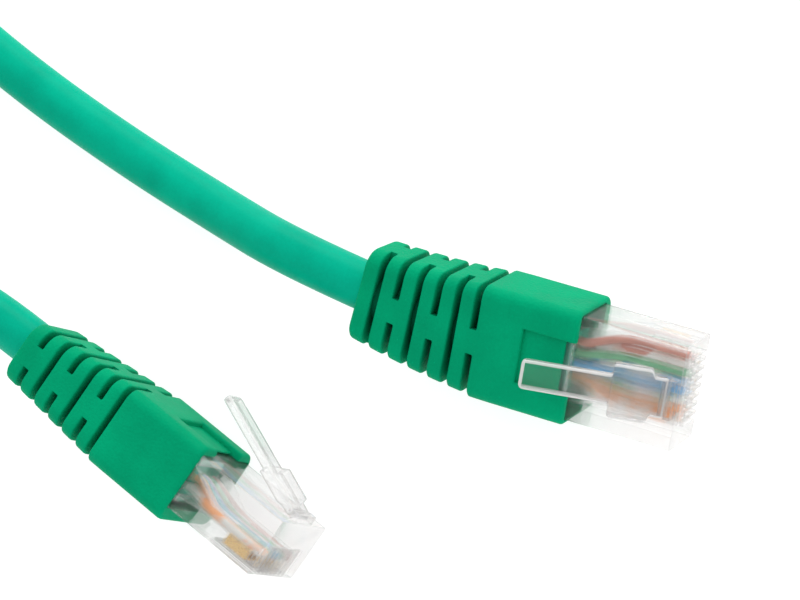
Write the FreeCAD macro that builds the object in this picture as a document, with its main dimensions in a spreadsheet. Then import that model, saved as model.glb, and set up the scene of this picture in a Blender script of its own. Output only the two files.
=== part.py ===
"""Ethernet patch cable: two eight-way modular plugs with moulded flexible boots, joined by one round cable.

Millimetres, +Z up, the part lies on the plane Z = 0.  The origin is at the middle of the base of the two
plugs' common box, the cable left out.  +X is the way plug A goes into its socket.

Each plug is drawn in its own plug axes: +X points out of the nose, the nose face is X = 0, the flat face
with the contacts is Z = 0 and +Z points to the latch.  A Placement then lays each plug on the table.
"""
import FreeCAD
import Part
import math
import os

import Sketcher

Vector = FreeCAD.Vector
Rotation = FreeCAD.Rotation
Placement = FreeCAD.Placement

AXIS_X = Vector(1, 0, 0)
AXIS_Y = Vector(0, 1, 0)
AXIS_Z = Vector(0, 0, 1)

SIZES = [
    # clear plug shell
    ("shell_width", 11.68, "eight-way plug, standard width"),
    ("shell_depth", 6.9, "contact face to latch-side face"),
    ("shell_length", 21.5, "nose to rear"),
    ("shell_edge", 0.35, "radius on the long edges"),
    ("way_count", 8, "contacts and wires"),
    ("way_pitch", 1.02, "standard contact spacing"),
    ("slot_length", 6.2, "open slot over a contact"),
    ("slot_width", 0.6, "open slot over a contact"),
    ("slot_depth", 0.5, "open slot over a contact"),
    ("nose_groove_reach", 3.6, "height of the grooves down the nose"),
    ("nose_groove_depth", 0.45, "depth of the grooves down the nose"),
    ("blade_slot_gap", 0.05, "air on each side of a blade"),
    ("tunnel_floor", 1.75, "wire tunnel, contact side"),
    ("tunnel_roof", 3.0, "wire tunnel, latch side"),
    ("tunnel_front", 0.9, "solid plastic ahead of the wires"),
    ("tunnel_rear", 8.4, "where the tunnel starts to widen"),
    ("tunnel_width", 8.4, "across the row of wires"),
    ("cavity_front", 12.9, "front of the jacket cavity"),
    ("cavity_width", 6.4, "jacket cavity"),
    # latch
    ("hinge_inset", 1.7, "nose face to the latch root"),
    ("hinge_lift", 0.6, "latch root above the shell"),
    ("barrel_radius", 0.5, "rounded latch root"),
    ("lug_width", 4.4, "root lug and latch neck"),
    ("lug_front", 0.25, "nose face to the lug"),
    ("lug_depth", 0.85, "lug, along the plug"),
    ("lug_rise", 1.0, "lug above the shell"),
    ("neck_length", 0.9, "latch neck"),
    ("catch_width", 6.0, "wide locking part"),
    ("catch_end", 5.35, "root to the locking shoulders"),
    ("catch_rise", 0.3, "extra thickness of the locking part"),
    ("tail_width", 3.25, "finger tail"),
    ("tail_end", 14.95, "root to the end of the tail"),
    ("tail_corner", 0.45, "corner radius of the tail"),
    ("latch_thickness", 1.0, "latch plate"),
    ("latch_angle", 20.5, "free latch above the shell, degrees"),
    # contacts and wires
    ("blade_thickness", 0.32, "gold-plated blade"),
    ("blade_front", 1.9, "nose face to the blade"),
    ("blade_length", 3.2, "along the plug"),
    ("blade_outer", 0.55, "outer edge below the contact face"),
    ("blade_notch", 2.05, "between the two points"),
    ("blade_tip", 2.6, "points, in the wire"),
    ("wire_diameter", 0.9, "insulated wire"),
    ("wire_level", 2.3, "middle of the row"),
    ("bundle_pitch", 0.62, "wires at the jacket's end, side to side"),
    ("bundle_step", 0.62, "wires at the jacket's end, up and down"),
    # cable
    ("cable_diameter", 5.5, "round jacket"),
    ("cable_level", 3.15, "cable axis above the contact face"),
    ("jacket_front", 13.0, "nose face to the end of the jacket"),
    # boot
    ("boot_front", 12.0, "nose face to the boot"),
    ("block_rear", 23.0, "nose face to the first flex slit's collar"),
    ("boot_width", 12.8, "front block"),
    ("boot_top", 7.9, "front block, latch side"),
    ("boot_bottom", -1.7, "front block, contact side"),
    ("boot_corner", 1.3, "corner radius round the boot"),
    ("boot_lip", 0.4, "rounding of the front edges"),
    ("flex_length", 15.0, "slit strain relief"),
    ("flex_front_width", 12.5, "slit part where it starts"),
    ("flex_rear_width", 10.7, "slit part at the cable end"),
    ("flex_rear_top", 6.6, "slit part at the cable end, latch side"),
    ("flex_rear_bottom", -0.75, "slit part at the cable end, contact side"),
    ("slit_count", 6, "flex slits"),
    ("slit_pitch", 2.42, "from slit to slit"),
    ("slit_first", 0.65, "block to the middle of the first slit"),
    ("slit_width", 0.75, "open width"),
    ("bridge_width", 3.0, "rib between two half slits"),
    ("bore_gap", 0.1, "air round the cable and round the plug"),
    ("recess_width", 6.0, "latch recess in the boot"),
    ("recess_rear", 18.0, "nose face to the back of the recess"),
    ("recess_floor", 0.4, "floor of the recess above the shell"),
    ("recess_floor_front", 13.2, "nose face to the front edge of that floor"),
    ("exit_run", 10.5, "cable goes straight out of a boot for this far"),
    # coil
    ("coil_outer_turn", 35.5, "radius at the middle of the outer turns"),
    ("coil_centre_x", -109.0, "middle of the coil"),
    ("coil_centre_y", 17.0, "middle of the coil"),
    ("coil_stub", 4.0, "straight end of each outer turn"),
    ("coil_stub_inset", 0.12, "how much thinner that end is than the cable all round"),
    ("coil_in_angle", 65.0, "where the lead from plug A joins, degrees"),
    ("coil_out_angle", 305.0, "where the lead from plug B joins, degrees"),
    ("tie_angle", 218.0, "place of the tie round the coil, degrees"),
    ("tie_span", 14.0, "width of the tie as an angle, degrees"),
    ("tie_thickness", 0.8, "tie strap"),
    ("tie_gap", 0.05, "air between the tie and the coil"),
]

# How each plug lies: nose position, turn about the vertical, roll about its own length, and how far its
# boot is bent sideways by the cable.
PLUGS = {
    "a": {"nose": Vector(37.5, 14.0, 3.82), "yaw": 0.0, "roll": 25.0, "bend": 7.0},
    "b": {"nose": Vector(-1.3, -19.6, 6.42), "yaw": -20.0, "roll": -84.0, "bend": 0.0},
}

# Hand-chosen points of the two leads, middle of the cable, from after the straight run out of the boot
# up to the coil.
LEAD_A = [(-23.0, 17.8, 2.9), (-36.0, 21.2, 2.75), (-50.3, 25.7, 3.2), (-63.8, 31.1, 4.0),
          (-75.9, 40.7, 8.25)]
LEAD_B = [(-61.8, 1.5, 4.2), (-77.2, -4.1, 2.75)]

doc = FreeCAD.newDocument("patch_cable")
sheet = doc.addObject("Spreadsheet::Sheet", "Sizes")


def fill_sheet():
    """Write every driving size into the sheet, one row each, with its alias."""
    for row, (alias, value, note) in enumerate(SIZES, start=1):
        sheet.set("A%d" % row, alias)
        sheet.set("B%d" % row, repr(value))
        sheet.set("C%d" % row, note)
        sheet.setAlias("B%d" % row, alias)
    doc.recompute()


def size(alias):
    """A size as a number, for the shapes that are worked out in code."""
    return float(sheet.get(alias))


# ---------------------------------------------------------------- sketches and bodies


def new_body(label):
    body = doc.addObject("PartDesign::Body", label)
    body.Label = label
    return body


def origin_feature(body, role):
    return [feature for feature in body.Origin.OriginFeatures if feature.Role == role][0]


def outline(body, name, role, corners, lift=None):
    """A closed sketch of straight lines whose corners are pairs of expressions on the sheet."""
    sketch = body.newObject("Sketcher::SketchObject", name)
    sketch.AttachmentSupport = [(origin_feature(body, role), "")]
    sketch.MapMode = "FlatFace"
    if lift is not None:
        sketch.setExpression("AttachmentOffset.Base.z", lift)
    places = [Vector(float(sketch.evalExpression(across)), float(sketch.evalExpression(along)), 0)
              for across, along in corners]
    count = len(corners)
    for index in range(count):
        sketch.addGeometry(Part.LineSegment(places[index], places[(index + 1) % count]))
    for index in range(count):
        sketch.addConstraint(Sketcher.Constraint("Coincident", index, 2, (index + 1) % count, 1))
    for index, (across, along) in enumerate(corners):
        fix_point(sketch, "DistanceX", index, places[index].x, across)
        fix_point(sketch, "DistanceY", index, places[index].y, along)
    return sketch


def fix_point(sketch, kind, index, value, expression):
    number = sketch.addConstraint(Sketcher.Constraint(kind, -1, 1, index, 1, value))
    sketch.setExpression("Constraints[%d]" % number, expression)


def rectangle(x_low, x_high, y_low, y_high):
    return [(x_low, y_low), (x_high, y_low), (x_high, y_high), (x_low, y_high)]


def feature(body, kind, name, sketch, length, symmetric=False, backwards=False):
    """A Pad or Pocket of a sketch with its length bound to the sheet."""
    item = body.newObject("PartDesign::" + kind, name)
    item.Profile = sketch
    item.setExpression("Length", length)
    if symmetric:
        item.SideType = "Symmetric"
    item.Reversed = backwards
    doc.recompute()
    return item


def pattern_across(body, source, name):
    """Repeat a pocket once for each way of the plug, across its width."""
    pattern = body.newObject("PartDesign::LinearPattern", name)
    pattern.Originals = [source]
    pattern.Direction = (origin_feature(body, "Y_Axis"), [""])
    pattern.setExpression("Length", "(Sizes.way_count - 1) * Sizes.way_pitch")
    pattern.setExpression("Occurrences", "Sizes.way_count")
    body.Tip = pattern
    doc.recompute()
    return pattern


def round_edges(body, name, radius, chosen):
    """Fillet the edges of the body's present shape for which chosen(edge) is true."""
    base = body.Tip
    names = ["Edge%d" % number for number, edge in enumerate(base.Shape.Edges, start=1) if chosen(edge)]
    fillet = body.newObject("PartDesign::Fillet", name)
    fillet.Base = (base, names)
    fillet.setExpression("Radius", radius)
    doc.recompute()
    return fillet


def runs_along(edge, axis, least):
    """True for a straight edge at least so long that runs along the axis."""
    if len(edge.Vertexes) != 2 or edge.Length < least:
        return False
    span = edge.Vertexes[1].Point - edge.Vertexes[0].Point
    return span.cross(axis).Length < 1e-6


def shape_piece(label, shape):
    piece = doc.addObject("Part::Feature", label)
    piece.Label = label
    piece.Shape = shape
    return piece


# ---------------------------------------------------------------- routes and tubes


def rounded_route(points):
    """Straight runs joined by tangent arcs, each as large as its two runs allow; returns wire and radii."""
    edges = []
    radii = []
    start = points[0]
    for before, corner, after in zip(points, points[1:], points[2:]):
        inward = (corner - before).normalize()
        outward = (after - corner).normalize()
        half_turn = inward.getAngle(outward) / 2
        setback = 0.45 * min((corner - before).Length, (after - corner).Length)
        radii.append(setback / math.tan(half_turn))
        first = corner - inward * setback
        last = corner + outward * setback
        toward = (outward - inward).normalize()
        centre = corner + toward * (radii[-1] / math.cos(half_turn))
        middle = centre - toward * radii[-1]
        edges.append(Part.LineSegment(start, first).toShape())
        edges.append(Part.Arc(first, middle, last).toShape())
        start = last
    edges.append(Part.LineSegment(start, points[-1]).toShape())
    return Part.Wire(edges), radii


def tube(wire, diameter):
    """A round solid swept along a wire, square at both ends."""
    first = wire.Edges[0]
    start = first.valueAt(first.FirstParameter)
    ahead = first.tangentAt(first.FirstParameter)
    ring = Part.Wire(Part.Circle(start, ahead, diameter / 2).toShape())
    return wire.makePipeShell([ring], True, False)


# ---------------------------------------------------------------- plug pieces, in plug axes


def make_shell(label):
    """Clear shell: box with a jacket cavity, a narrowing wire chamber and a slot over each contact."""
    body = new_body(label)
    section = outline(body, "section", "YZ_Plane", rectangle(
        "-Sizes.shell_width / 2", "Sizes.shell_width / 2", "0", "Sizes.shell_depth"))
    feature(body, "Pad", "block", section, "Sizes.shell_length", backwards=True)
    round_edges(body, "long_edges", "Sizes.shell_edge", lambda edge: runs_along(edge, AXIS_X, 20))
    lug = outline(body, "lug_profile", "XZ_Plane", rectangle(
        "-Sizes.lug_front - Sizes.lug_depth", "-Sizes.lug_front",
        "Sizes.shell_depth - 0.2", "Sizes.shell_depth + Sizes.lug_rise"))
    feature(body, "Pad", "lug", lug, "Sizes.lug_width", symmetric=True)
    jacket = outline(body, "jacket_profile", "XZ_Plane", rectangle(
        "-Sizes.shell_length - 1", "-Sizes.cavity_front",
        "Sizes.cable_level - Sizes.cable_diameter / 2 - Sizes.bore_gap",
        "Sizes.cable_level + Sizes.cable_diameter / 2 + Sizes.bore_gap"))
    feature(body, "Pocket", "jacket_cavity", jacket, "Sizes.cavity_width", symmetric=True)
    chamber = outline(body, "chamber_profile", "XZ_Plane", [
        ("-Sizes.cavity_front - 0.1", "Sizes.cable_level - Sizes.cable_diameter / 2 + 1"),
        ("-Sizes.tunnel_rear", "Sizes.tunnel_floor"),
        ("-Sizes.tunnel_front", "Sizes.tunnel_floor"),
        ("-Sizes.tunnel_front", "Sizes.tunnel_roof"),
        ("-Sizes.tunnel_rear", "Sizes.tunnel_roof"),
        ("-Sizes.cavity_front - 0.1", "Sizes.cable_level + Sizes.cable_diameter / 2 - 0.6")])
    feature(body, "Pocket", "wire_chamber", chamber, "Sizes.tunnel_width", symmetric=True)
    first_way = "(Sizes.way_count - 1) * Sizes.way_pitch / 2"
    open_slot = outline(body, "open_slot_profile", "XZ_Plane", [
        ("1", "-1"),
        ("-Sizes.slot_length", "-1"),
        ("-Sizes.slot_length", "Sizes.slot_depth"),
        ("-Sizes.nose_groove_depth", "Sizes.slot_depth"),
        ("-Sizes.nose_groove_depth", "Sizes.nose_groove_reach"),
        ("1", "Sizes.nose_groove_reach")], lift=first_way)
    slot = feature(body, "Pocket", "open_slot", open_slot, "Sizes.slot_width", symmetric=True)
    pattern_across(body, slot, "open_slots")
    blade_slot = outline(body, "blade_slot_profile", "XZ_Plane", rectangle(
        "-Sizes.blade_front - Sizes.blade_length - Sizes.blade_slot_gap",
        "-Sizes.blade_front + Sizes.blade_slot_gap",
        "-1", "Sizes.tunnel_floor + 0.2"), lift=first_way)
    deep = feature(body, "Pocket", "blade_slot", blade_slot,
                   "Sizes.blade_thickness + 2 * Sizes.blade_slot_gap", symmetric=True)
    pattern_across(body, deep, "blade_slots")
    return body


def make_latch(label):
    """Latch lever in its own axes: root on the Y axis, tail along -X, drawn flat."""
    body = new_body(label)
    half = "Sizes.%s / 2"
    neck, catch, tail = (half % name for name in ("lug_width", "catch_width", "tail_width"))
    right = [("0", neck), ("-Sizes.neck_length", neck), ("-Sizes.neck_length - 0.4", catch),
             ("-Sizes.catch_end", catch), ("-Sizes.catch_end", tail), ("-Sizes.tail_end", tail)]
    left = [(along, "-" + across) for along, across in reversed(right)]
    plate = outline(body, "plan", "XY_Plane", right + left)
    feature(body, "Pad", "plate", plate, "Sizes.latch_thickness", symmetric=True)
    round_edges(body, "tail_corners", "Sizes.tail_corner",
                lambda edge: runs_along(edge, AXIS_Z, 0.5)
                and abs(edge.Vertexes[0].Point.x + size("tail_end")) < 0.01)
    step = outline(body, "catch_plan", "XY_Plane", rectangle(
        "-Sizes.catch_end", "-Sizes.neck_length - 0.4", "-Sizes.catch_width / 2", "Sizes.catch_width / 2"))
    feature(body, "Pad", "catch", step, "Sizes.latch_thickness / 2 + Sizes.catch_rise")
    barrel = body.newObject("Sketcher::SketchObject", "barrel_section")
    barrel.AttachmentSupport = [(origin_feature(body, "XZ_Plane"), "")]
    barrel.MapMode = "FlatFace"
    barrel.addGeometry(Part.Circle(Vector(0, 0, 0), AXIS_Z, size("barrel_radius")))
    barrel.addConstraint(Sketcher.Constraint("Coincident", 0, 3, -1, 1))
    radius = barrel.addConstraint(Sketcher.Constraint("Radius", 0, size("barrel_radius")))
    barrel.setExpression("Constraints[%d]" % radius, "Sizes.barrel_radius")
    feature(body, "Pad", "barrel", barrel, "Sizes.lug_width", symmetric=True)
    return body


def way_offset(way):
    return (way - (size("way_count") - 1) / 2) * size("way_pitch")


def make_blade(label):
    """One contact: a thin plate with a straight outer edge and two points that bite into the wire."""
    body = new_body(label)
    front = "-Sizes.blade_front"
    profile = outline(body, "profile", "XZ_Plane", [
        (front, "Sizes.blade_outer"),
        (front, "Sizes.blade_notch"),
        (front + " - Sizes.blade_length * 0.2", "Sizes.blade_tip"),
        (front + " - Sizes.blade_length * 0.5", "Sizes.blade_notch"),
        (front + " - Sizes.blade_length * 0.8", "Sizes.blade_tip"),
        (front + " - Sizes.blade_length", "Sizes.blade_notch"),
        (front + " - Sizes.blade_length", "Sizes.blade_outer")])
    feature(body, "Pad", "plate", profile, "Sizes.blade_thickness", symmetric=True)
    return body


def wire_shape(way, blade):
    """One insulated wire, from its place in the jacket's end to the row under the contacts."""
    across = way_offset(way)
    beside = (way - (size("way_count") - 1) / 2) * size("bundle_pitch")
    level = size("cable_level") + (size("bundle_step") if way % 2 else -size("bundle_step"))
    row = size("wire_level")
    front = -size("tunnel_front") - 0.1
    points = [Vector(-size("jacket_front"), beside, level),
              Vector(-size("jacket_front") + 0.9, beside, level),
              Vector(-size("tunnel_rear") + 0.3, across, row),
              Vector(front, across, row)]
    route, _ = rounded_route(points)
    return tube(route, size("wire_diameter")).cut(blade)


def section_wire(width, low, high):
    """A rectangle with rounded corners across the plug, at X = 0."""
    radius = size("boot_corner")
    side = width / 2
    diagonal = radius * (1 - math.sqrt(0.5))
    corners = [(side, low, -1, 1), (side, high, -1, -1), (-side, high, 1, -1), (-side, low, 1, 1)]
    edges = []
    ends = []
    for number, (across, level, to_side, to_level) in enumerate(corners):
        beside = Vector(0, across + to_side * radius, level)
        above = Vector(0, across, level + to_level * radius)
        middle = Vector(0, across + to_side * diagonal, level + to_level * diagonal)
        first, last = (beside, above) if number % 2 == 0 else (above, beside)
        edges.append(Part.Arc(first, middle, last).toShape())
        ends.append((first, last))
    for number in range(4):
        edges.append(Part.LineSegment(ends[number][1], ends[(number + 1) % 4][0]).toShape())
    return Part.Wire(Part.__sortEdges__(edges))


def spine(distance, plug):
    """Place of a boot section this far behind the front block, along the bent middle line."""
    bend = math.radians(plug["bend"])
    roll = math.radians(plug["roll"])
    turn_axis = Vector(0, math.sin(roll), math.cos(roll))
    sideways = Vector(0, math.cos(roll), -math.sin(roll))
    start = Vector(-size("block_rear"), 0, 0)
    if bend == 0:
        return Placement(start - AXIS_X * distance, Rotation())
    radius = size("flex_length") / bend
    angle = distance / radius
    place = start - AXIS_X * (radius * math.sin(angle)) + sideways * (radius * (1 - math.cos(angle)))
    return Placement(place, Rotation(turn_axis, -math.degrees(angle)))


def bent_wire(plug, offset, first, last):
    """Line, then arc, along the boot's middle line at a level above the contact face."""
    lift = AXIS_Z * offset
    places = [spine(distance, plug).multVec(lift) for distance in (0, last / 2, last)]
    edges = [Part.LineSegment(Vector(-first, 0, offset), places[0]).toShape()]
    if plug["bend"] == 0:
        edges.append(Part.LineSegment(places[0], places[2]).toShape())
    else:
        edges.append(Part.Arc(*places).toShape())
    return Part.Wire(edges)


def boot_slit(plug, number):
    """Cutter for one slit: a thin slab right through to the cable that spares two opposite ribs."""
    distance = size("slit_first") + number * size("slit_pitch")
    thickness = size("slit_width")
    reach = 40.0
    slab = Part.makeBox(thickness, reach, reach, Vector(-thickness / 2, -reach / 2, -reach / 2))
    bridge = size("bridge_width")
    if number % 2 == 0:
        ribs = Part.makeBox(thickness * 2, bridge, reach, Vector(-thickness, -bridge / 2, -reach / 2))
    else:
        level = size("cable_level") - bridge / 2
        ribs = Part.makeBox(thickness * 2, reach, bridge, Vector(-thickness, -reach / 2, level))
    cutter = slab.cut(ribs)
    cutter.Placement = spine(distance, plug)
    return cutter


def boot_shape(plug):
    """Moulded boot: front block round the plug's rear, then a tapering part with six flex slits."""
    low, high = size("boot_bottom"), size("boot_top")
    face = Part.Face(section_wire(size("boot_width"), low, high))
    face.translate(Vector(-size("block_rear"), 0, 0))
    block = face.extrude(AXIS_X * (size("block_rear") - size("boot_front")))
    rim = [edge for edge in block.Edges
           if all(abs(vertex.Point.x + size("boot_front")) < 1e-6 for vertex in edge.Vertexes)]
    block = block.makeFillet(size("boot_lip"), rim)
    sections = []
    steps = 4
    for step in range(steps + 1):
        share = step / steps
        wire = section_wire(
            size("flex_front_width") + share * (size("flex_rear_width") - size("flex_front_width")),
            low + 0.05 + share * (size("flex_rear_bottom") - low - 0.05),
            high - 0.05 + share * (size("flex_rear_top") - high + 0.05))
        wire.Placement = spine(share * size("flex_length"), plug)
        sections.append(wire)
    flex = Part.makeLoft(sections, True, False)
    boot = block.fuse(flex)
    gap = size("bore_gap")
    socket_rear = size("shell_length") + 2 * gap
    socket = Part.makeBox(socket_rear, size("shell_width") + 2 * gap, size("shell_depth") + 2 * gap,
                          Vector(-socket_rear, -size("shell_width") / 2 - gap, -gap))
    side = -size("recess_width") / 2
    floor = size("shell_depth") + size("recess_floor")
    recess = Part.makeBox(size("recess_rear"), size("recess_width"), high,
                          Vector(-size("recess_rear"), side, floor))
    mouth = Part.makeBox(size("recess_floor_front"), size("recess_width"), high,
                         Vector(-size("recess_floor_front"), side, size("shell_depth")))
    bore_path = bent_wire(plug, size("cable_level"), socket_rear - 1, size("flex_length") + 1)
    bore = tube(bore_path, size("cable_diameter") + 2 * gap)
    slits = [boot_slit(plug, number) for number in range(int(size("slit_count")))]
    return boot.cut([socket, recess, mouth, bore] + slits).removeSplitter()


# ---------------------------------------------------------------- assembly


def plug_placement(plug):
    return Placement(plug["nose"], Rotation(plug["yaw"], 0, plug["roll"]))


def place(piece, placement):
    piece.Placement = placement.multiply(piece.Placement)
    return piece


def make_plug(letter):
    """Every piece of one plug, laid in its place; returns them in order."""
    plug = PLUGS[letter]
    placement = plug_placement(plug)
    root = Vector(-size("hinge_inset"), 0, size("shell_depth") + size("hinge_lift"))
    pieces = [place(make_shell("plug_shell_" + letter), placement)]
    latch = make_latch("latch_" + letter)
    latch.Placement = Placement(root, Rotation(AXIS_Y, size("latch_angle")))
    pieces.append(place(latch, placement))
    for way in range(int(size("way_count"))):
        blade = make_blade("contact_%s%d" % (letter, way + 1))
        blade.Placement = Placement(AXIS_Y * way_offset(way), Rotation())
        blade_cut = blade.Shape.copy()
        wire = shape_piece("wire_%s%d" % (letter, way + 1), wire_shape(way, blade_cut))
        pieces.append(place(blade, placement))
        pieces.append(place(wire, placement))
    jacket_path = bent_wire(plug, size("cable_level"), size("jacket_front"), size("flex_length"))
    jacket = shape_piece("jacket_end_" + letter, tube(jacket_path, size("cable_diameter")))
    pieces.append(place(jacket, placement))
    pieces.append(place(shape_piece("boot_" + letter, boot_shape(plug)), placement))
    return pieces


def exit_point(letter):
    """Where the cable leaves the boot, and the way it heads."""
    plug = PLUGS[letter]
    end = plug_placement(plug).multiply(spine(size("flex_length"), plug))
    return end.multVec(AXIS_Z * size("cable_level")), end.Rotation.multVec(-AXIS_X)


def coil_centre():
    return Vector(size("coil_centre_x"), size("coil_centre_y"), 0)


def coil_join(angle_name, level, sense):
    """Face where a lead meets the coil: centre of the face and the way out of the coil."""
    angle = math.radians(size(angle_name))
    radial = Vector(math.cos(angle), math.sin(angle), 0)
    outward = Vector(math.sin(angle), -math.cos(angle), 0) * sense
    edge = coil_centre() + radial * size("coil_outer_turn") + AXIS_Z * level
    return edge, outward


def make_coil():
    """Ring of the outer shape of the stacked turns, with a short straight end for each lead."""
    body = new_body("coil_turns")
    inner = "Sizes.coil_outer_turn - Sizes.cable_diameter * 1.5"
    outer = "Sizes.coil_outer_turn + Sizes.cable_diameter * 0.5"
    section = outline(body, "section", "XZ_Plane", rectangle(
        inner, outer, "0", "2 * Sizes.cable_diameter"))
    ring = body.newObject("PartDesign::Revolution", "ring")
    ring.Profile = section
    ring.ReferenceAxis = (origin_feature(body, "Z_Axis"), [""])
    ring.Angle = 360
    doc.recompute()
    body.Placement = Placement(coil_centre(), Rotation())
    doc.recompute()
    return body


def make_tie():
    """Strap round the coil: a short arc of a rectangular band, its lower run let into the coil."""
    body = new_body("coil_tie")
    inner = "Sizes.coil_outer_turn - Sizes.cable_diameter * 1.5 - Sizes.tie_gap"
    outer = "Sizes.coil_outer_turn + Sizes.cable_diameter * 0.5 + Sizes.tie_gap"
    top = "2 * Sizes.cable_diameter + Sizes.tie_gap"
    band = outline(body, "band", "XZ_Plane", rectangle(
        inner + " - Sizes.tie_thickness", outer + " + Sizes.tie_thickness",
        "0", top + " + Sizes.tie_thickness"))
    ring = body.newObject("PartDesign::Revolution", "strap")
    ring.Profile = band
    ring.ReferenceAxis = (origin_feature(body, "Z_Axis"), [""])
    ring.setExpression("Angle", "Sizes.tie_span")
    doc.recompute()
    hollow = outline(body, "hollow", "XZ_Plane", rectangle(inner, outer, "Sizes.tie_thickness", top))
    groove = body.newObject("PartDesign::Groove", "inside")
    groove.Profile = hollow
    groove.ReferenceAxis = (origin_feature(body, "Z_Axis"), [""])
    groove.Angle = 360
    doc.recompute()
    body.Placement = Placement(coil_centre(), Rotation(AXIS_Z, size("tie_angle")))
    doc.recompute()
    return body


def coil_with_ends(ring, tie):
    """The coil as one solid: ring, both straight ends, and the notch that the tie sits in."""
    radius = size("cable_diameter") / 2
    shape = ring.Shape.copy()
    ends = [("coil_in_angle", radius * 3, 1), ("coil_out_angle", radius, -1)]
    for angle_name, level, sense in ends:
        edge, outward = coil_join(angle_name, level, sense)
        inside = edge - outward * (radius * 2)
        stub = Part.makeCylinder(radius - size("coil_stub_inset"), size("coil_stub") + radius * 2,
                                 inside, outward)
        shape = shape.fuse(stub)
    band = tie.Shape.BoundBox
    room = Part.makeBox(band.XLength + 2, band.YLength + 2, size("tie_thickness") + size("tie_gap"),
                        Vector(band.XMin - 1, band.YMin - 1, 0))
    lowered = ring.Shape.common(room)
    wedge = tie_wedge()
    return shape.cut(lowered.common(wedge)).removeSplitter()


def tie_wedge():
    """The sector of the coil under the tie, a little wider than the strap."""
    spare = 0.4
    sector = Part.makeCylinder(size("coil_outer_turn") + size("cable_diameter"), size("cable_diameter"),
                               coil_centre(), AXIS_Z, size("tie_span") + 2 * spare)
    sector.rotate(coil_centre(), AXIS_Z, size("tie_angle") - spare)
    return sector


def lead(label, letter, middle_points, angle_name, level, sense):
    """Free cable from a boot to the coil, as runs and tangent arcs."""
    start, heading = exit_point(letter)
    edge, outward = coil_join(angle_name, level, sense)
    end = edge + outward * size("coil_stub")
    points = [start, start + heading * size("exit_run")]
    points += [Vector(*point) for point in middle_points] + [end]
    route, radii = rounded_route(points)
    shape = tube(route, size("cable_diameter"))
    section = math.pi * size("cable_diameter") ** 2 / 4
    print(label, "exit", [round(value, 2) for value in start], "heading", [round(v, 3) for v in heading],
          "end", [round(value, 2) for value in end])
    print(label, "length", round(route.Length, 1), "radii", [round(radius, 1) for radius in radii],
          "volume over section x length", round(shape.Volume / (section * route.Length), 4))
    return shape_piece(label, shape), route.Length


def check_document(pieces):
    """Stop if any object failed or any piece has no valid solid."""
    doc.recompute()
    failed = [item.Name for item in doc.Objects if "Invalid" in item.State or "Error" in item.State]
    if failed:
        raise RuntimeError("failed objects: %s" % failed)
    for piece in pieces:
        shape = piece.Shape
        if shape.isNull() or not shape.isValid() or not shape.Solids:
            raise RuntimeError("bad shape: %s" % piece.Label)


def write_parts(pieces):
    os.makedirs("parts", exist_ok=True)
    for piece in pieces:
        piece.Shape.exportStep(os.path.join("parts", piece.Label + ".step"))


def main():
    fill_sheet()
    pieces = []
    for letter in PLUGS:
        pieces += make_plug(letter)
    ring = make_coil()
    tie = make_tie()
    coil = shape_piece("coil", coil_with_ends(ring, tie))
    upper, lower = size("cable_diameter") * 1.5, size("cable_diameter") / 2
    lead_a, length_a = lead("cable_lead_a", "a", LEAD_A, "coil_in_angle", upper, 1)
    lead_b, length_b = lead("cable_lead_b", "b", LEAD_B, "coil_out_angle", lower, -1)
    pieces += [coil, tie, lead_a, lead_b]
    check_document(pieces)
    write_parts(pieces)
    box = FreeCAD.BoundBox()
    for piece in pieces[:-4]:
        points, _ = piece.Shape.tessellate(0.02)
        for point in points:
            box.add(point)
    print("plugs box", box)
    print(len(pieces), "pieces, leads", round(length_a + length_b, 1), "mm")


main()
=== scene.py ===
import math

import bmesh
import bpy
import numpy as np
from mathutils import Matrix, Vector


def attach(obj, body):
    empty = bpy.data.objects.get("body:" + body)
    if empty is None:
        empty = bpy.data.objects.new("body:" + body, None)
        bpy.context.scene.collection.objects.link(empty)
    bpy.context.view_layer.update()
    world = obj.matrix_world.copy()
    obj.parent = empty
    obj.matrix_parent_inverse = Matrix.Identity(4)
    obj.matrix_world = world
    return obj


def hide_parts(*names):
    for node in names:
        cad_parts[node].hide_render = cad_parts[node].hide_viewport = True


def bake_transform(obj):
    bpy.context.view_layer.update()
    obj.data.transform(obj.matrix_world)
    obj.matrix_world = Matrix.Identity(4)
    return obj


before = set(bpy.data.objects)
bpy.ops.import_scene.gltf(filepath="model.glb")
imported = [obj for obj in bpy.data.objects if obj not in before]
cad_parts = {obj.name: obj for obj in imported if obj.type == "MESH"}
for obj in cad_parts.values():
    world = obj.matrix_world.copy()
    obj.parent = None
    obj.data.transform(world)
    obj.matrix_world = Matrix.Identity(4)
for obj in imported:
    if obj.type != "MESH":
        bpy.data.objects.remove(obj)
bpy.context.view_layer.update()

MM = 0.001

# How each plug lies: nose position in mm, turn about the vertical, roll about its own length, and how
# far the cable bends its boot.
PLUGS = {
    "a": {"nose": (37.5, 14.0, 3.82), "yaw": 0.0, "roll": 25.0, "bend": 7.0},
    "b": {"nose": (-1.3, -19.6, 6.42), "yaw": -20.0, "roll": -84.0, "bend": 0.0},
}

# ---------------------------------------------------------------- camera, light and floor


def make_camera():
    """Long lens, well above the plugs and a little to one side, rolled on its own axis."""
    across = Vector((0.89348, 0.31614, -0.31897))
    ahead = Vector((-0.36413, 0.09426, -0.92657))
    up = across.cross(ahead)
    camera_data = bpy.data.cameras.new("camera")
    camera_data.lens = 162
    camera_data.sensor_width = 36
    camera_data.clip_start = 0.02
    camera_data.clip_end = 20
    camera = bpy.data.objects.new("camera", camera_data)
    bpy.context.scene.collection.objects.link(camera)
    turn = Matrix((across, up, -ahead)).transposed()
    camera.matrix_world = Matrix.Translation((0.14564, -0.02363, 0.36959)) @ turn.to_4x4()
    bpy.context.scene.camera = camera


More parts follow.
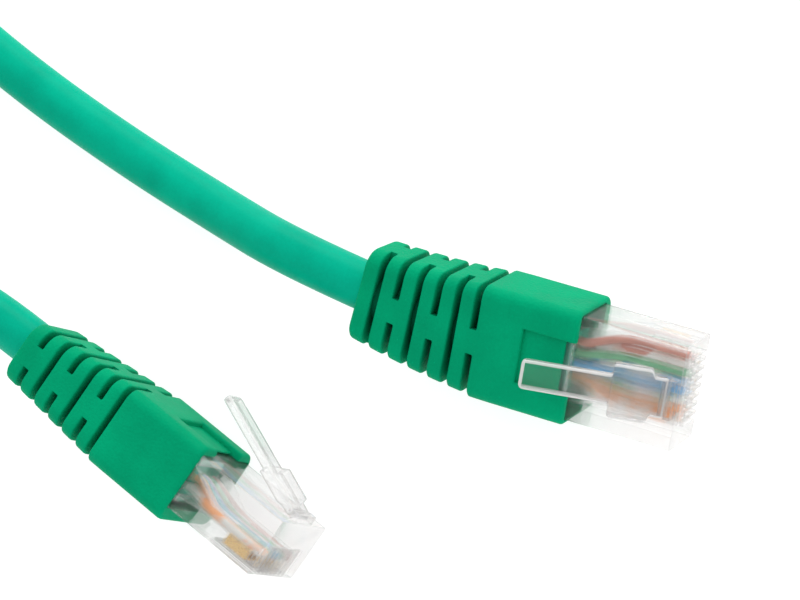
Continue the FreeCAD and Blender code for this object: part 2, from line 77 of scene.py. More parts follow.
def soft_light(name, place, aim, width, height, power):
    """Rectangular softbox that faces its aim."""
    light_data = bpy.data.lights.new(name, "AREA")
    light_data.shape = "RECTANGLE"
    light_data.size = width
    light_data.size_y = height
    light_data.energy = power
    light = bpy.data.objects.new(name, light_data)
    bpy.context.scene.collection.objects.link(light)
    light.location = place
    light.rotation_euler = (Vector(aim) - Vector(place)).to_track_quat("-Z", "Y").to_euler()


def make_floor():
    """Plain white table that glows a little, as a light table does."""
    half = 3.0
    mesh = bpy.data.meshes.new("floor")
    corners = [(-half, -half, 0), (half, -half, 0), (half, half, 0), (-half, half, 0)]
    mesh.from_pydata(corners, [], [(0, 1, 2, 3)])
    floor = bpy.data.objects.new("floor", mesh)
    bpy.context.scene.collection.objects.link(floor)
    material = bpy.data.materials.new("white_table")
    material.use_nodes = True
    shader = material.node_tree.nodes["Principled BSDF"]
    shader.inputs["Base Color"].default_value = (0.5, 0.5, 0.5, 1)
    shader.inputs["Roughness"].default_value = 1.0
    shader.inputs["Specular IOR Level"].default_value = 0.0
    shader.inputs["Emission Color"].default_value = (1, 1, 1, 1)
    shader.inputs["Emission Strength"].default_value = 0.72
    mesh.materials.append(material)


def make_world():
    """Even white surroundings."""
    world = bpy.data.worlds.new("studio")
    world.use_nodes = True
    world.node_tree.nodes["Background"].inputs["Color"].default_value = (1, 1, 1, 1)
    world.node_tree.nodes["Background"].inputs["Strength"].default_value = 0.95
    bpy.context.scene.world = world


make_camera()
make_world()
make_floor()
soft_light("back_softbox", (-0.1, 1.5, 0.42), (0, 0, 0), 1.6, 0.7, 14)
bpy.context.scene.view_settings.view_transform = "Standard"

# ---------------------------------------------------------------- placing and building


def turned(axis, degrees):
    """Rotation matrix about X (0) or Z (2)."""
    c, s = math.cos(math.radians(degrees)), math.sin(math.radians(degrees))
    if axis == 0:
        return np.array([[1, 0, 0], [0, c, -s], [0, s, c]])
    return np.array([[c, -s, 0], [s, c, 0], [0, 0, 1]])


def laid(letter, points):
    """Points in a plug's own axes, in mm, rolled, turned and moved to where the plug lies, in metres."""
    plug = PLUGS[letter]
    turn = turned(2, plug["yaw"]) @ turned(0, plug["roll"])
    return (np.asarray(points, float) @ turn.T + np.array(plug["nose"])) * MM


BLOCK_REAR = -23.0
FLEX_LENGTH = 15.0
AXIS_LEVEL = 3.15


def bent(letter, points):
    """Points behind the boot's front block, carried round the arc that the boot's middle line follows:
    each section keeps its shape and turns by its distance over the arc's radius."""
    plug = PLUGS[letter]
    points = np.array(points, float)
    distance = np.maximum(BLOCK_REAR - points[..., 0], 0)
    bend = math.radians(plug["bend"])
    if bend == 0:
        return points
    roll = math.radians(plug["roll"])
    turn_axis = np.array([0, math.sin(roll), math.cos(roll)])
    sideways = np.array([0, math.cos(roll), -math.sin(roll)])
    radius = FLEX_LENGTH / bend
    angle = (distance / radius)[..., None]
    offset = points * np.array([0, 1, 1])
    swung = (offset * np.cos(angle) - np.cross(turn_axis, offset) * np.sin(angle)
             + turn_axis * (offset @ turn_axis)[..., None] * (1 - np.cos(angle)))
    middle = (np.array([BLOCK_REAR, 0, 0]) - np.array([1, 0, 0]) * radius * np.sin(angle)
              + sideways * radius * (1 - np.cos(angle)))
    return np.where((points[..., 0] < BLOCK_REAR)[..., None], middle + swung, points)


def new_piece(name, points, faces, smooth_angle=35, depth=None, highlight_faces=None):
    """Mesh object of these points and faces, doubles merged, faces outward. Depth, one number for each
    point, is how far that point lies down a slit, where the finish paints shade; highlight faces, true or
    false for each face, take the piece's second material, a painted highlight."""
    mesh = bpy.data.meshes.new(name)
    mesh.from_pydata(points.reshape(-1, 3).tolist(), [], faces.tolist())
    if highlight_faces is not None:
        mesh.polygons.foreach_set("material_index", highlight_faces.astype(np.int32).ravel())
    if depth is not None:
        mesh.attributes.new("depth", "FLOAT", "POINT").data.foreach_set("value", depth.ravel())
    work = bmesh.new()
    work.from_mesh(mesh)
    bmesh.ops.remove_doubles(work, verts=work.verts, dist=1e-7)
    bmesh.ops.dissolve_degenerate(work, edges=work.edges, dist=1e-8)
    bmesh.ops.recalc_face_normals(work, faces=work.faces)
    work.to_mesh(mesh)
    work.free()
    mesh.shade_smooth()
    mesh.set_sharp_from_angle(angle=math.radians(smooth_angle))
    piece = bpy.data.objects.new(name, mesh)
    bpy.context.scene.collection.objects.link(piece)
    return piece


def grid_faces(rows, columns, wrap_rows=False, wrap_columns=False):
    """Quads of a rows by columns grid as an array of shape (row cells, column cells, 4)."""
    r = np.arange(rows if wrap_rows else rows - 1)[:, None]
    c = np.arange(columns if wrap_columns else columns - 1)[None, :]
    r_next, c_next = (r + 1) % rows, (c + 1) % columns
    corners = [r * columns + c, r_next * columns + c, r_next * columns + c_next, r * columns + c_next]
    return np.stack(np.broadcast_arrays(*corners), axis=-1)


EDGE_POINTS = 4


def bar_section(half_width, low, high, edge):
    """Rounded rectangle across Y and Z for each row: four quarter arcs of the edge radius."""
    arc = np.radians(np.linspace(0, 90, EDGE_POINTS))
    side, rise = edge * np.sin(arc), edge * np.cos(arc)
    y = np.hstack([half_width - edge + side, half_width - edge + side[:, ::-1],
                   edge - half_width - side, edge - half_width - side[:, ::-1]])
    z = np.hstack([high - edge + rise, low + edge - rise[:, ::-1],
                   low + edge - rise, high - edge + rise[:, ::-1]])
    return y, z


def bar_skin(rows):
    """Grid of a bar along X from rows of place, half width, low, high and edge, closed at both ends by
    drawing the last section in to its middle."""
    x, half_width, low, high, edge = np.split(np.array(rows, float), 5, axis=1)
    y, z = bar_section(half_width, low, high, edge)
    grid = np.stack([np.broadcast_to(x, y.shape), y, z], -1)
    ends = [np.broadcast_to(grid[row].mean(axis=0), grid[row].shape) for row in (0, -1)]
    return np.concatenate([ends[:1], grid, ends[1:]])


# ---------------------------------------------------------------- finishes


def new_material(name, colour, roughness, specular):
    """Principled material with its constants set; returns it, its nodes, its links and its shader."""
    material = bpy.data.materials.new(name)
    material.use_nodes = True
    shader = material.node_tree.nodes["Principled BSDF"]
    shader.inputs["Base Color"].default_value = (*colour, 1)
    shader.inputs["Roughness"].default_value = roughness
    shader.inputs["Specular IOR Level"].default_value = specular
    return material, material.node_tree.nodes, material.node_tree.links, shader


def noise(nodes, links, scale, detail, coordinates):
    """Noise texture on Object coordinates; scale is spots per metre."""
    texture = nodes.new("ShaderNodeTexNoise")
    texture.inputs["Scale"].default_value = scale
    texture.inputs["Detail"].default_value = detail
    links.new(coordinates.outputs["Object"], texture.inputs["Vector"])
    return texture


def ramp(nodes, links, source, stops):
    """Colour ramp from a 0 to 1 value; stops are (place, colour)."""
    band = nodes.new("ShaderNodeValToRGB")
    band.color_ramp.elements[0].position, band.color_ramp.elements[1].position = stops[0][0], stops[-1][0]
    band.color_ramp.elements[0].color = (*stops[0][1], 1)
    band.color_ramp.elements[1].color = (*stops[-1][1], 1)
    for place, colour in stops[1:-1]:
        band.color_ramp.elements.new(place).color = (*colour, 1)
    links.new(source, band.inputs["Fac"])
    return band


def bump(nodes, links, shader, height, strength, distance):
    """Relief from a 0 to 1 height; distance in metres."""
    relief = nodes.new("ShaderNodeBump")
    relief.inputs["Strength"].default_value = strength
    relief.inputs["Distance"].default_value = distance
    links.new(height, relief.inputs["Height"])
    links.new(relief.outputs["Normal"], shader.inputs["Normal"])


def mixed(nodes, links, first, second, share):
    """First value times the share, plus the second."""
    mix = nodes.new("ShaderNodeMath")
    mix.operation = "MULTIPLY_ADD"
    mix.inputs[1].default_value = share
    links.new(first, mix.inputs[0])
    links.new(second, mix.inputs[2])
    return mix


def shaded(colour, factor):
    """Colour made darker or lighter, no part over 1."""
    return tuple(min(1.0, c * factor) for c in colour)


# Sockets of a Mix node that mixes colours.
MIX_FACTOR, MIX_FIRST, MIX_SECOND, MIX_COLOUR = 0, 6, 7, 2


def moulded_vinyl(name, colour, stipple, roughness, specular, painted_slit_shade=1.0):
    """Soft vinyl: broad faint clouding of the colour, a fine stipple from the mould and a slow waviness.
    The colour is multiplied by the painted slit shade where the piece's depth is 1: painted shade in the
    slits."""
    material, nodes, links, shader = new_material(name, colour, roughness, specular)
    coordinates = nodes.new("ShaderNodeTexCoord")
    clouds = noise(nodes, links, 190, 3, coordinates)
    grain = noise(nodes, links, 3200, 2, coordinates)
    blend = mixed(nodes, links, grain.outputs["Fac"], clouds.outputs["Fac"], 0.35)
    tones = ramp(nodes, links, blend.outputs[0], [
        (0.45, shaded(colour, 0.9)), (0.68, colour), (0.9, shaded(colour, 1.1))])
    # Painted shade: the colour is darkened by the slit shade where the depth attribute is 1.
    depth = nodes.new("ShaderNodeAttribute")
    depth.attribute_name = "depth"
    shade = nodes.new("ShaderNodeMix")
    shade.data_type = "RGBA"
    shade.blend_type = "MULTIPLY"
    shade.inputs[MIX_SECOND].default_value = (painted_slit_shade, painted_slit_shade, painted_slit_shade, 1)
    links.new(depth.outputs["Fac"], shade.inputs[MIX_FACTOR])
    links.new(tones.outputs["Color"], shade.inputs[MIX_FIRST])
    links.new(shade.outputs[MIX_COLOUR], shader.inputs["Base Color"])
    wear = ramp(nodes, links, clouds.outputs["Fac"], [
        (0.3, (roughness - 0.05,) * 3), (0.7, (roughness + 0.07,) * 3)])
    links.new(wear.outputs["Color"], shader.inputs["Roughness"])
    height = mixed(nodes, links, clouds.outputs["Fac"], grain.outputs["Fac"], 0.8)
    bump(nodes, links, shader, height.outputs[0], stipple, 0.00008)
    return material


def clear_plastic(name, tone, clearness, opacity):
    """Clear moulded plastic: faint haze and flow marks that vary its roughness, tone and surface. The
    tone is its colour, clearness how much of it transmits, and opacity how much of it bends light."""
    material, nodes, links, shader = new_material(name, (tone,) * 3, 0.1, 0.5)
    shader.inputs["Transmission Weight"].default_value = clearness
    shader.inputs["Alpha"].default_value = opacity
    shader.inputs["IOR"].default_value = 1.35
    coordinates = nodes.new("ShaderNodeTexCoord")
    flow = noise(nodes, links, 260, 3, coordinates)
    haze = ramp(nodes, links, flow.outputs["Fac"], [(0.35, (0.06,) * 3), (0.75, (0.18,) * 3)])
    links.new(haze.outputs["Color"], shader.inputs["Roughness"])
    warm = (tone, tone * 0.985, tone * 0.98)
    tint = ramp(nodes, links, flow.outputs["Fac"], [(0.3, shaded(warm, 0.96)), (0.7, warm)])
    links.new(tint.outputs["Color"], shader.inputs["Base Color"])
    bump(nodes, links, shader, flow.outputs["Fac"], 0.25, 0.0001)
    return material


def gold_plate(name):
    """Thin gold plate with fine brushed variation."""
    material, nodes, links, shader = new_material(name, (0.88, 0.62, 0.27), 0.28, 0.5)
    shader.inputs["Metallic"].default_value = 1.0
    coordinates = nodes.new("ShaderNodeTexCoord")
    brushed = noise(nodes, links, 2400, 3, coordinates)
    tones = ramp(nodes, links, brushed.outputs["Fac"], [
        (0.3, (0.78, 0.52, 0.21)), (0.7, (0.93, 0.68, 0.32))])
    links.new(tones.outputs["Color"], shader.inputs["Base Color"])
    rough = ramp(nodes, links, brushed.outputs["Fac"], [(0.3, (0.2,) * 3), (0.8, (0.4,) * 3)])
    links.new(rough.outputs["Color"], shader.inputs["Roughness"])
    return material


def wire_insulation(name, colour, stripe=None):
    """Thin glossy insulation; a white wire of a pair carries blotchy stripes of its partner's colour."""
    material, nodes, links, shader = new_material(name, colour, 0.35, 0.4)
    coordinates = nodes.new("ShaderNodeTexCoord")
    marks = noise(nodes, links, 420, 2, coordinates)
    other = stripe or shaded(colour, 0.85)
    tones = ramp(nodes, links, marks.outputs["Fac"], [(0.44, colour), (0.56, other)])
    links.new(tones.outputs["Color"], shader.inputs["Base Color"])
    return material


BOOT_GREEN = (0.0, 0.325, 0.150)
CABLE_GREEN = (0.0, 0.400, 0.250)
# The boot's slit floors are painted at 0.3 of its colour: painted shade in the slits.
boot_vinyl = moulded_vinyl("boot_vinyl", BOOT_GREEN, 1.0, 0.5, 0.02, painted_slit_shade=0.3)
jacket_vinyl = moulded_vinyl("jacket_vinyl", CABLE_GREEN, 0.12, 0.36, 0.03)
plug_plastic = clear_plastic("plug_plastic", 0.79, 0.88, 0.45)
# Whiter, less clear copy of the shell plastic for its softened edges: painted highlight.
plug_painted_highlight = clear_plastic("plug_painted_highlight", 0.74, 0.35, 0.8)
latch_plastic = clear_plastic("latch_plastic", 0.7, 0.94, 0.4)
# Whiter, less clear copy of the latch plastic for its rounded edges: painted highlight.
latch_painted_highlight = clear_plastic("latch_painted_highlight", 0.8, 0.2, 0.8)
contact_gold = gold_plate("contact_gold")
tie_weave = moulded_vinyl("tie_weave", (0.012, 0.012, 0.013), 0.6, 0.7, 0.2)
WHITE = (0.85, 0.84, 0.80)
ORANGE, GREEN = (0.98, 0.42, 0.16), (0.16, 0.55, 0.28)
BLUE, BROWN = (0.14, 0.46, 0.80), (0.66, 0.27, 0.20)
WIRES = [("white_orange", WHITE, ORANGE), ("orange", ORANGE, None), ("white_green", WHITE, GREEN),
         ("blue", BLUE, None), ("white_blue", WHITE, BLUE), ("green", GREEN, None),
         ("white_brown", WHITE, BROWN), ("brown", BROWN, None)]
wire_finishes = [wire_insulation(*wire) for wire in WIRES]


def finish_piece(piece, material, slot, body, *nodes):
    """Gives a new piece its material and body, and hides the CAD nodes that it stands for. The slot is
    not used.
    """
    piece.data.materials.append(material)
    if nodes:
        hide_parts(*nodes)
    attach(piece, body)
    return piece


def finish_node(name, material):
    """Better material on a piece that keeps its own shape."""
    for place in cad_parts[name].material_slots:
        place.material = material


# ---------------------------------------------------------------- cable

LEAD_A = [(-23.0, 17.8, 2.9), (-36.0, 21.2, 2.75), (-50.3, 25.7, 3.2), (-63.8, 31.1, 4.0),
          (-75.9, 40.7, 8.25)]
LEAD_B = [(-61.8, 1.5, 4.2), (-77.2, -4.1, 2.75)]
CABLE_DIAMETER = 5.5
EXIT_RUN = 10.5
COIL_CENTRE = np.array([-109.0, 17.0])
OUTER_TURN, INNER_TURN = 35.5, 30.0
COIL_IN, COIL_OUT = 65, 305
TOP_LEVEL, BOTTOM_LEVEL = 8.25, 2.75
COIL_STUB = 4.0
# Degrees round, from the start, over which the cable steps in, down and out again.
STEP_IN, STEP_DOWN, STEP_OUT = (361, 406), (703, 748), (1045, 1090)


def eased(value, start, end):
    """0 before start, 1 after end, and a smooth step between."""
    share = np.clip((value - start) / (end - start), 0, 1)
    return share * share * (3 - 2 * share)


def boot_exit(letter):
    """Middle of the boot's cable end, and the end of the straight run out of it, in mm."""
    end = BLOCK_REAR - FLEX_LENGTH
    ends = laid(letter, bent(letter, [[end, 0, AXIS_LEVEL], [end + 0.01, 0, AXIS_LEVEL]])) / MM
    heading = (ends[0] - ends[1]) / np.linalg.norm(ends[0] - ends[1])
    return [ends[0], ends[0] + heading * EXIT_RUN]


def coil_points():
    """Control points of the turns, one for each step round from lead A's end to lead B's: top outer, top
    inner, bottom inner, bottom outer. Radius and level change in eased steps, each behind the last, so
    that no turn cuts another. The radius is a little over the turn's because the spline runs inside its
    points."""
    step = 15.0
    angle = np.arange(COIL_IN + step / 2, 3 * 360 + COIL_OUT, step)
    inward = eased(angle, *STEP_IN) - eased(angle, *STEP_OUT)
    radius = OUTER_TURN - (OUTER_TURN - INNER_TURN) * inward
    radius = radius * 8 / (6 + 2 * math.cos(math.radians(step)))
    level = TOP_LEVEL - (TOP_LEVEL - BOTTOM_LEVEL) * eased(angle, *STEP_DOWN)
    turn = np.radians(angle)
    x = COIL_CENTRE[0] + radius * np.cos(turn)
    y = COIL_CENTRE[1] + radius * np.sin(turn)
    return np.stack([x, y, level], -1)


def coil_end(angle, level, sense):
    """End of the short straight part where a lead leaves the coil along its tangent."""
    turn = math.radians(angle)
    x = COIL_CENTRE[0] + OUTER_TURN * math.cos(turn) + COIL_STUB * sense * math.sin(turn)
    y = COIL_CENTRE[1] + OUTER_TURN * math.sin(turn) - COIL_STUB * sense * math.cos(turn)
    return [x, y, level]


def make_cable():
    """Round jacket along one smooth spline: lead A, coil, lead B."""
    route = np.concatenate([
        boot_exit("a"), LEAD_A, [coil_end(COIL_IN, TOP_LEVEL, 1)], coil_points(),
        [coil_end(COIL_OUT, BOTTOM_LEVEL, -1)], LEAD_B[::-1], boot_exit("b")[::-1]]) * MM
    curve = bpy.data.curves.new("cable", "CURVE")
    curve.dimensions = "3D"
    spline = curve.splines.new("NURBS")
    spline.points.add(len(route) - 1)
    spline.points.foreach_set("co", np.column_stack([route, np.ones(len(route))]).ravel())
    spline.order_u = 3
    spline.use_endpoint_u = True
    spline.resolution_u = 10
    curve.bevel_depth = CABLE_DIAMETER / 2 * MM
    curve.bevel_resolution = 8
    curve.use_fill_caps = True
    cable = bpy.data.objects.new("cable", curve)
    bpy.context.scene.collection.objects.link(cable)
    finish_piece(cable, jacket_vinyl, "cable_green", "cable", "cable_lead_a", "coil", "cable_lead_b")


make_cable()

# ---------------------------------------------------------------- boots

SLIT_FIRST, SLIT_PITCH, SLIT_HALF, SLIT_EDGE = 0.65, 2.42, 0.4, 0.22
BORE_RADIUS, SLIT_FLOOR = 2.85, 2.95
FRONT, RECESS_REAR, RECESS_HALF, LIP = -12.0, -18.0, 3.0, 0.4
BRIDGE_HALF = 1.5
REAR_EDGE, RECESS_EDGE = 0.5, 0.3
INSET_STEP = 0.5
SOCKET_REAR, SOCKET_HALF, SOCKET_TOP, SOCKET_BOTTOM, SOCKET_CORNER = -21.7, 5.94, 7.0, -0.1, 0.35
ACROSS = np.array([0, 0.5, 1.0, 1.38, 1.5, 1.62, 2.2, 2.7, 3.0, 3.04, 3.12, 3.3])
UP = np.array([1.62, 1.5, 1.38, 1.0, 0.5, 0])
RECESS_COLUMN = 8


def quadrant(half_width, height, corner):
    """From the middle of a broad face round to the middle of a narrow one: straight, quarter arc of the
    corner radius, straight. Sizes are columns, one row for each section; returns y and rise arrays."""
    spread = np.array([1 / 3, 2 / 3])
    arc = np.radians(np.linspace(0, 90, 7))
    rows = len(half_width)
    y = np.hstack([np.tile(ACROSS, (rows, 1)), 3.3 + (half_width - corner - 3.3) * spread,
                   half_width - corner + corner * np.sin(arc),
                   np.repeat(half_width, 1 + len(UP), axis=1)])
    rise = np.hstack([np.repeat(height, len(ACROSS) + 2, axis=1),
                      height - corner + corner * np.cos(arc),
                      1.62 + (height - corner - 1.62) * 0.5, np.tile(UP, (rows, 1))])
    return y, rise


def section(half_width, top, bottom, corner):
    """Closed rounded rectangle for each row, from the middle of the latch side right round."""
    y_high, rise_high = quadrant(half_width, top - AXIS_LEVEL, corner)
    y_low, rise_low = quadrant(half_width, AXIS_LEVEL - bottom, corner)
    y = np.hstack([y_high, y_low[:, -2::-1], -y_low[:, 1:], -y_high[:, -2:0:-1]])
    z = AXIS_LEVEL + np.hstack([rise_high, -rise_low[:, -2::-1], -rise_low[:, 1:], rise_high[:, -2:0:-1]])
    return y, z


def boot_sections():
    """Stations along the outside of the boot from the cable end to the front, as rows of place along the
    plug, inset of the outline, number of the slit that the row belongs to or -1, and 1 on a slit's
    floor. Edges are quarter rounds: the inset is the radius less its cosine part."""
    rear = BLOCK_REAR - FLEX_LENGTH
    rows = [(rear, 0.9, -1, 0)]
    round_edge = np.radians([0, 30, 60, 90])
    rows += [(rear + REAR_EDGE * (1 - math.sin(a)), REAR_EDGE * (1 - math.cos(a)), -1, 0)
             for a in round_edge[::-1]]
    for number in range(5, -1, -1):
        middle = BLOCK_REAR - SLIT_FIRST - number * SLIT_PITCH
        lip = [(SLIT_HALF + SLIT_EDGE * (1 - math.sin(a)), SLIT_EDGE * (1 - math.cos(a)))
               for a in round_edge]
        rows += [(middle - away, inset, number, 0) for away, inset in lip]
        rows += [(middle + side * SLIT_HALF, SLIT_EDGE, number, 1) for side in (-1, -0.5, 0.5, 1)]
        rows += [(middle + away, inset, number, 0) for away, inset in lip[::-1]]
    block = (-21.0, -19.5, -18.3, -18.12, -18.04, RECESS_REAR, -17.0, -15.5, -14.0, -13.0)
    rows += [(x, 0.0, -1, 0) for x in block]
    rows += [(FRONT - LIP * (1 - math.sin(a)), LIP * (1 - math.cos(a)), -1, 0) for a in round_edge]
    return np.array(rows)


def boot_outline(x):
    """Half width, latch-side level, contact-side level and corner radius at each station."""
    share = np.clip((BLOCK_REAR - x) / FLEX_LENGTH, 0, 1)
    ease = eased(BLOCK_REAR - x, -0.3, 1.0)
    half_width = 6.4 - 0.15 * ease - share * 0.9
    top = 7.9 - 0.05 * ease - share * 1.25
    bottom = -1.7 + 0.05 * ease + share * 0.9
    return half_width, top, bottom, 1.3 + 0.1 * ease + 0.4 * share


def make_boot(letter):
    """Moulded boot as one closed skin: a rounded rectangle carried from the cable end to the front, over
    the edge and back inside as the socket, then the bore. Where a slit is open, the outline rounds over
    its edge and drops to a circle round the cable. Slits are open except for a rib in the middle of the
    broad faces, or of the narrow ones, in turn. The latch recess is a window through the wall, with a
    rounded rim; its floor is a piece of its own."""
    stations = boot_sections()
    x, inset, slit, floor = np.split(stations, 4, axis=1)
    half_width, top, bottom, corner = boot_outline(x)
    y, z = section(half_width, top, bottom, corner)
    along = np.broadcast_to(x, y.shape)
    even_open = eased(np.abs(y), BRIDGE_HALF - 0.12, BRIDGE_HALF + 0.12)
    odd_open = eased(np.abs(z - AXIS_LEVEL), BRIDGE_HALF - 0.12, BRIDGE_HALF + 0.12)
    is_open = np.where(slit < 0, 1, np.where(slit % 2 == 0, even_open, odd_open))
    inset = inset * is_open
    y_in, z_in = section(half_width - INSET_STEP, top - INSET_STEP, bottom + INSET_STEP,
                         corner - INSET_STEP / 2)
    y, z = y + (y_in - y) * inset / INSET_STEP, z + (z_in - z) * inset / INSET_STEP
    reach = np.hypot(y, z - AXIS_LEVEL)
    shrink = 1 - is_open * floor * (1 - SLIT_FLOOR / reach)
    y, z = y * shrink, AXIS_LEVEL + (z - AXIS_LEVEL) * shrink
    rim_gap = np.hypot(np.maximum(np.abs(y) - RECESS_HALF, 0), np.maximum(RECESS_REAR - along, 0))
    drop = RECESS_EDGE - np.sqrt(RECESS_EDGE ** 2 - np.clip(RECESS_EDGE - rim_gap, 0, RECESS_EDGE) ** 2)
    z = np.where((z > 6.9) & (along > -19), z - drop, z)
    outside = np.stack([along, y, z], -1)
    columns = y.shape[1]

    recess_row = int(np.argmax(stations[:, 0] >= RECESS_REAR))
    socket_x = np.concatenate([stations[:recess_row - 1:-1, 0], [SOCKET_REAR]])[:, None]
    ones = np.ones_like(socket_x)
    socket_y, socket_z = section(
        SOCKET_HALF * ones, SOCKET_TOP * ones, SOCKET_BOTTOM * ones, SOCKET_CORNER * ones)
    socket = np.stack([np.broadcast_to(socket_x, socket_y.shape), socket_y, socket_z], -1)
    bore_x = np.concatenate([[SOCKET_REAR], BLOCK_REAR - np.linspace(0, FLEX_LENGTH, 5)])[:, None]
    ray = np.stack([socket_y[-1], socket_z[-1] - AXIS_LEVEL], -1)
    ray = BORE_RADIUS * ray / np.linalg.norm(ray, axis=-1, keepdims=True)
    spread = np.ones((len(bore_x), 1))
    bore = np.stack([np.broadcast_to(bore_x, (len(bore_x), columns)), spread * ray[:, 0],
                     AXIS_LEVEL + spread * ray[:, 1]], -1)
    skin = np.concatenate([outside, socket, bore])
    rows = len(skin)
    # Depth is 1 on the open slit floors, where the boot's finish paints shade.
    depth = np.zeros(skin.shape[:2])
    depth[:len(outside)] = is_open * floor

    faces = grid_faces(rows, columns, wrap_rows=True, wrap_columns=True)
    front_row = len(outside) - 1
    inner_recess_row = len(outside) + front_row - recess_row
    keep = np.ones(faces.shape[:2], bool)
    window = np.r_[0:RECESS_COLUMN, columns - RECESS_COLUMN:columns]
    keep[recess_row:inner_recess_row, window] = False
    rim_columns = np.r_[columns - RECESS_COLUMN:columns, 0:RECESS_COLUMN + 1]
    outer_rim, inner_rim = recess_row * columns + rim_columns, inner_recess_row * columns + rim_columns
    rear_rim = np.stack([outer_rim[:-1], outer_rim[1:], inner_rim[1:], inner_rim[:-1]], -1)
    outer_rows = np.arange(recess_row, front_row + 1)
    inner_rows = 2 * front_row + 1 - outer_rows
    side_rims = []
    for column in (RECESS_COLUMN, columns - RECESS_COLUMN):
        out, inn = outer_rows * columns + column, inner_rows * columns + column
        side_rims.append(np.stack([out[:-1], out[1:], inn[1:], inn[:-1]], -1))
    faces = np.concatenate([faces[keep], rear_rim, *side_rims])
    boot = new_piece("boot_skin_" + letter, laid(letter, bent(letter, skin)), faces, depth=depth)
    return finish_piece(boot, boot_vinyl, "boot_green", "cable", "boot_" + letter)


def make_recess_floor(letter):
    """Floor of the latch recess: a thin flat tongue of the boot over the shell, its front edge rounded
    over and its other edges let into the walls."""
    rows = [(-18.4, 3.2, 7.02, 7.3, 0.1), (-13.5, 3.2, 7.02, 7.3, 0.1), (-13.3, 3.2, 7.03, 7.28, 0.1),
            (-13.22, 3.2, 7.06, 7.24, 0.08), (-13.2, 3.2, 7.1, 7.2, 0.04)]
    skin = bar_skin(rows)
    faces = grid_faces(*skin.shape[:2], wrap_columns=True).reshape(-1, 4)
    floor = new_piece("recess_floor_" + letter, laid(letter, skin), faces, 50)
    return finish_piece(floor, boot_vinyl, "boot_green", "cable")


for plug_letter in PLUGS:
    make_boot(plug_letter)
    make_recess_floor(plug_letter)

# ---------------------------------------------------------------- jacket ends

JACKET_FRONT, JACKET_REAR, CAVITY_REAR = -13.05, -22.9, -21.5


def make_jacket_end(letter):
    """Jacket inside the plug: round behind the shell, squeezed to a rounded square that fills the cavity,
    and cut off square at the wires. Half width and half height ease from the round to the square, and
    the outline is a superellipse whose power eases from 2 to 6."""
    x = np.array([JACKET_REAR, -22.4, CAVITY_REAR, -21.0, -20.4, -19.8, -19.0, -17.0, -15.0, -13.4,
                  JACKET_FRONT])[:, None]
    squeeze = eased(x, CAVITY_REAR, -19.0)
    half_width, half_height = 2.72 + 0.44 * squeeze, 2.72 + 0.1 * squeeze
    power = 2 / (2 + 4 * squeeze)
    turn = np.radians(np.arange(0, 360, 7.5))[None, :]
    y = half_width * np.sign(np.cos(turn)) * np.abs(np.cos(turn)) ** power
    z = AXIS_LEVEL + half_height * np.sign(np.sin(turn)) * np.abs(np.sin(turn)) ** power
    grid = np.stack([np.broadcast_to(x, y.shape), y, z], -1)
    ends = [np.broadcast_to(grid[row].mean(axis=0), grid[row].shape) for row in (0, -1)]
    skin = np.concatenate([ends[:1], grid, ends[1:]])
    faces = grid_faces(*skin.shape[:2], wrap_columns=True).reshape(-1, 4)
    jacket = new_piece("jacket_tail_" + letter, laid(letter, skin), faces)
    return finish_piece(jacket, jacket_vinyl, "cable_green", "cable", "jacket_end_" + letter)


for plug_letter in PLUGS:
    make_jacket_end(plug_letter)

# ---------------------------------------------------------------- latches and shells

ROOT = np.array([-1.7, 0, 7.5])
LATCH_ANGLE = 20.5


def from_latch(points):
    """Latch's own axes, root on the Y axis and tail along -X, tilted up and moved to the root."""
    a = math.radians(LATCH_ANGLE)
    tilt = np.array([[math.cos(a), 0, math.sin(a)], [0, 1, 0], [-math.sin(a), 0, math.cos(a)]])
    return points @ tilt.T + ROOT


LATCH_ROWS = [
    (0.47, 2.0, -0.25, 0.25, 0.2), (0.4, 2.12, -0.36, 0.36, 0.24), (0.25, 2.2, -0.45, 0.45, 0.26),
    (0.0, 2.2, -0.5, 0.5, 0.26), (-0.7, 2.2, -0.5, 0.5, 0.26), (-0.9, 2.22, -0.5, 0.52, 0.26),
    (-1.1, 2.55, -0.5, 0.66, 0.26), (-1.25, 2.86, -0.5, 0.76, 0.26), (-1.4, 2.98, -0.5, 0.8, 0.26),
    (-1.6, 3.0, -0.5, 0.8, 0.26), (-3.4, 3.0, -0.5, 0.8, 0.26), (-5.08, 3.0, -0.5, 0.8, 0.26),
    (-5.22, 2.97, -0.49, 0.77, 0.25), (-5.31, 2.9, -0.46, 0.7, 0.24), (-5.35, 2.78, -0.4, 0.6, 0.22),
    (-5.35, 1.95, -0.46, 0.54, 0.22), (-5.4, 1.78, -0.5, 0.51, 0.24), (-5.5, 1.68, -0.5, 0.5, 0.26),
    (-5.7, 1.65, -0.5, 0.5, 0.26), (-8.0, 1.64, -0.5, 0.5, 0.26), (-11.0, 1.63, -0.5, 0.5, 0.26),
    (-14.3, 1.62, -0.48, 0.48, 0.26), (-14.6, 1.59, -0.47, 0.47, 0.26), (-14.8, 1.48, -0.42, 0.42, 0.24),
    (-14.91, 1.3, -0.33, 0.33, 0.2), (-14.95, 1.1, -0.2, 0.2, 0.12)]


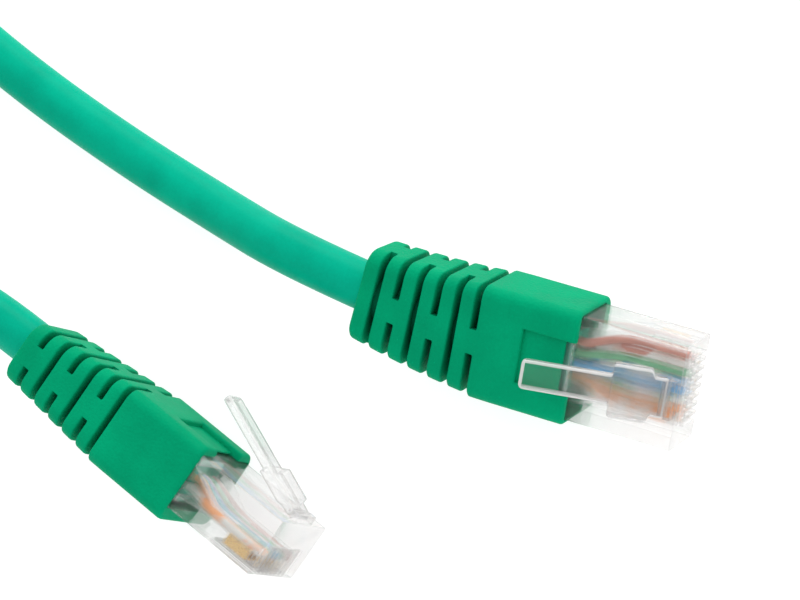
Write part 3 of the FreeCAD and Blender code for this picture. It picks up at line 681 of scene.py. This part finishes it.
def make_latch(letter):
    """Latch lever: a bar whose width and depth follow the rows from the neck, over the wide locking part
    and its two shoulders, to the rounded end of the finger tail."""
    skin = from_latch(bar_skin(LATCH_ROWS))
    faces = grid_faces(*skin.shape[:2], wrap_columns=True)
    row, column = np.indices(faces.shape[:2])
    on_arc = column % EDGE_POINTS != EDGE_POINTS - 1
    at_neck, at_tail = row < 3, row > len(faces) - 5
    # Rounded edges, neck and tail take the latch's whiter finish: painted highlight along them.
    is_painted_highlight = on_arc | at_neck | at_tail
    latch = new_piece("latch_lever_" + letter, laid(letter, skin), faces.reshape(-1, 4), 50,
                      highlight_faces=is_painted_highlight)
    latch.data.materials.append(latch_plastic)
    return finish_piece(latch, latch_painted_highlight, "clear_plastic", "latch_" + letter, "latch_" + letter)


def make_root_web(letter):
    """Thin bending root between the shell's lug and the lever: a flat bar with a slight upward bow."""
    steps = 10
    bows = [0.12 * math.sin(step * 0.31) for step in range(steps + 1)]
    rows = [(0.9 - 0.1 * step, 2.05, -0.2 + bow, 0.22 + bow, 0.14) for step, bow in enumerate(bows)]
    skin = bar_skin(rows) + ROOT
    faces = grid_faces(*skin.shape[:2], wrap_columns=True).reshape(-1, 4)
    web = new_piece("latch_root_" + letter, laid(letter, skin), faces, 50)
    web.data.materials.append(latch_plastic)
    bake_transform(web)


def make_shell(letter):
    """Clear shell: the model's own slots, chamber and cavity; moulded edges softened, with painted
    highlight.
    """
    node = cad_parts["plug_shell_" + letter]
    mesh = node.data.copy()
    mesh.name = "clear_shell_" + letter
    mesh.materials.clear()
    work = bmesh.new()
    work.from_mesh(mesh)
    bmesh.ops.remove_doubles(work, verts=work.verts, dist=1e-6)
    bmesh.ops.dissolve_limit(work, angle_limit=math.radians(3), verts=work.verts, edges=work.edges)
    work.to_mesh(mesh)
    work.free()
    shell = bpy.data.objects.new("clear_shell_" + letter, mesh)
    bpy.context.scene.collection.objects.link(shell)
    soften = shell.modifiers.new("soft_edges", "BEVEL")
    soften.width = 0.12 * MM
    soften.segments = 2
    soften.limit_method = "ANGLE"
    soften.angle_limit = math.radians(50)
    # Bevel faces take the second, whiter and less clear finish: a painted highlight along the softened
    # edges.
    soften.material = 1
    mesh.shade_smooth()
    mesh.set_sharp_from_angle(angle=math.radians(80))
    mesh.materials.append(plug_plastic)
    return finish_piece(shell, plug_painted_highlight, "clear_plastic", "cable", "plug_shell_" + letter)


for plug_letter in PLUGS:
    make_shell(plug_letter)
    make_latch(plug_letter)
    make_root_web(plug_letter)

# ---------------------------------------------------------------- carried-over pieces

for plug_letter in PLUGS:
    for way, wire_finish in enumerate(wire_finishes):
        finish_node("contact_%s%d" % (plug_letter, way + 1), contact_gold)
        finish_node("wire_%s%d" % (plug_letter, way + 1), wire_finish)
finish_node("coil_tie", tie_weave)
